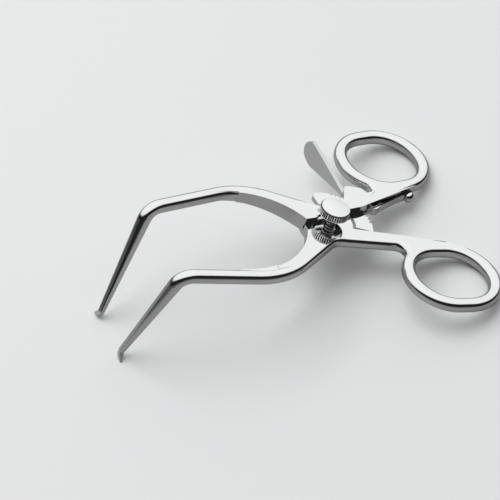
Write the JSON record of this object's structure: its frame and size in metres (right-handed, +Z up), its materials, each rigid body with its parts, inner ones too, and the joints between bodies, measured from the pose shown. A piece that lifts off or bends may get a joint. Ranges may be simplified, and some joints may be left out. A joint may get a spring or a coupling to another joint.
{
  "type": "self retaining retractor",
  "caption": "Hinged surgical retractor with finger rings, toothed sector, sprung release lever, knurled pivot screw and down-turned fingers with hooked tips.",
  "frame": {"origin": "centre of the bounding box on the table plane", "axes": "+Z up from the table, +X back towards the finger rings, +Y towards the half that lies on top"},
  "size_m": [0.141, 0.095, 0.0408],
  "materials": {
    "polished_steel": "mirror polished stainless steel",
    "satin_steel": "satin stainless steel with polished edges"
  },
  "bodies": {
    "near": {"near_half": "polished_steel"},
    "far": {"far_half": "polished_steel", "guide_pin": "polished_steel", "lever_pin": "polished_steel", "spring_screw": "polished_steel"},
    "lever": {"release_lever": "satin_steel"},
    "spring": {"leaf_spring": "polished_steel"},
    "screw": {"thumb_screw": "polished_steel"}
  },
  "joints": [
    {"name": "main_hinge", "type": "hinge", "parent": "near", "child": "far", "pos_m": [0.01863, 0.00184, 0.01924], "axis": [0.3047, 0.0457, 0.9513], "range_deg": [-30, 12]},
    {"name": "lever_turn", "type": "hinge", "parent": "far", "child": "lever", "pos_m": [0.0339, 0.01234, 0.01385], "axis": [0.3047, 0.0457, 0.9513], "range_deg": [-12, 8], "stiffness_Nm_per_rad": 0.05},
    {"name": "leaf_flex", "type": "hinge", "parent": "far", "child": "spring", "pos_m": [0.05466, 0.01302, 0.00716], "axis": [0.3047, 0.0457, 0.9513], "range_deg": [-1, 1.5]},
    {"name": "screw_turn", "type": "hinge", "parent": "near", "child": "screw", "pos_m": [0.01863, 0.00184, 0.01924], "axis": [0.3047, 0.0457, 0.9513], "range_deg": [-300, 1080]}
  ],
  "couplings": [
    {"joint": "leaf_flex", "follows": "lever_turn", "ratio": -0.112}
  ]
}
